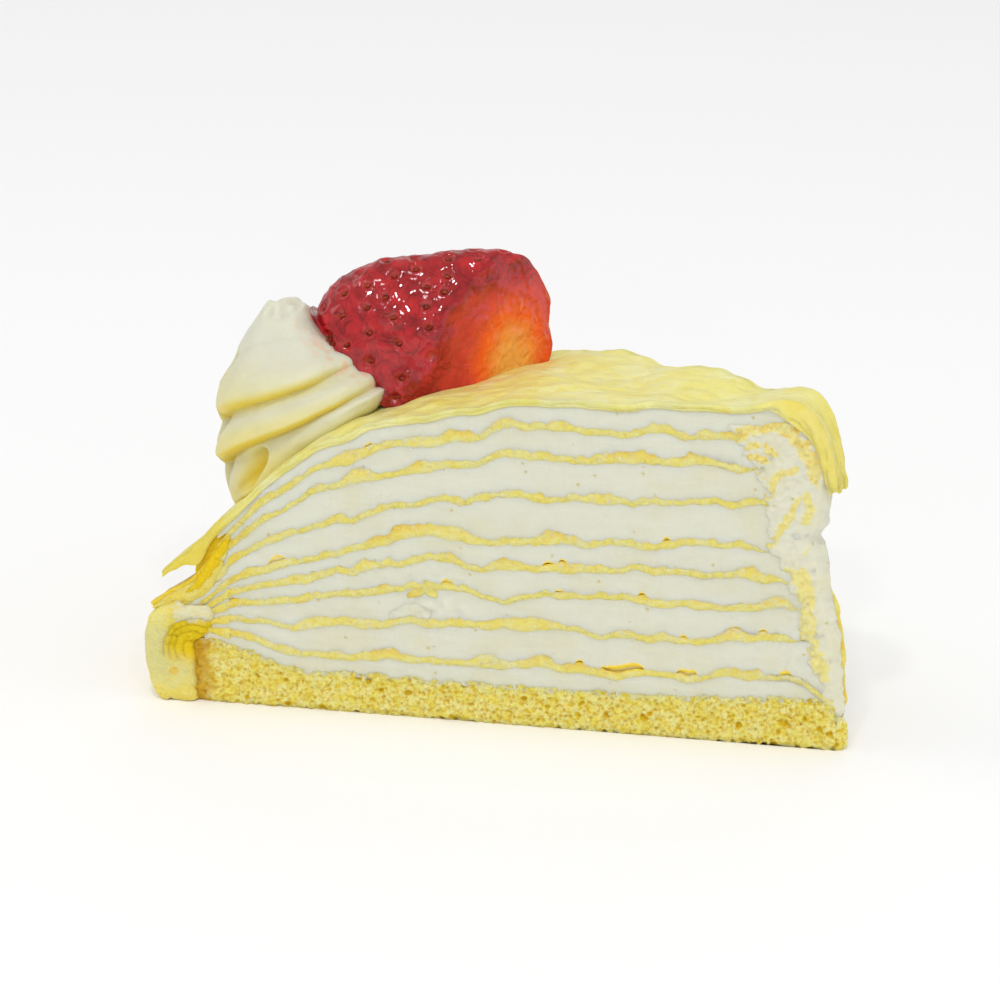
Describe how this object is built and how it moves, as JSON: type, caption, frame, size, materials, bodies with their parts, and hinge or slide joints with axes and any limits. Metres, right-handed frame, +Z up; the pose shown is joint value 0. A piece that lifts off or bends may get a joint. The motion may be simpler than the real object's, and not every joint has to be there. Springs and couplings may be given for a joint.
{
  "type": "crepe cake slice",
  "caption": "Wedge of crepe cake on a sponge base, with cream between its crepes, a draped top crepe, a piped cream swirl and a cut strawberry.",
  "frame": {"origin": "on the surface that the slice stands on, under the middle of its outline", "axes": "+X from the rim to the narrow tip, +Z up; one cut faces towards -Y and the other towards +Y"},
  "size_m": [0.1042, 0.0654, 0.0662],
  "materials": {
    "sponge": "open porous yellow sponge crumb",
    "cream": "smooth satin cream",
    "crepe": "soft yellow crepe with toasted upper side",
    "top_crepe": "moist wrinkled yellow crepe",
    "whipped_cream": "soft satin whipped cream",
    "strawberry": "wet glossy glaze"
  },
  "bodies": {
    "root": {"sponge_base": "sponge", "cream_1": "cream", "cream_2": "cream", "cream_3": "cream", "cream_4": "cream", "cream_5": "cream", "cream_6": "cream", "cream_7": "cream", "cream_8": "cream", "cream_9": "cream", "crepe_1": "crepe", "crepe_2": "crepe", "crepe_3": "crepe", "crepe_4": "crepe", "crepe_5": "crepe", "crepe_6": "crepe", "crepe_7": "crepe", "crepe_8": "crepe", "crepe_top": "top_crepe", "cream_swirl": "whipped_cream", "strawberry": "strawberry"}
  },
  "joints": []
}
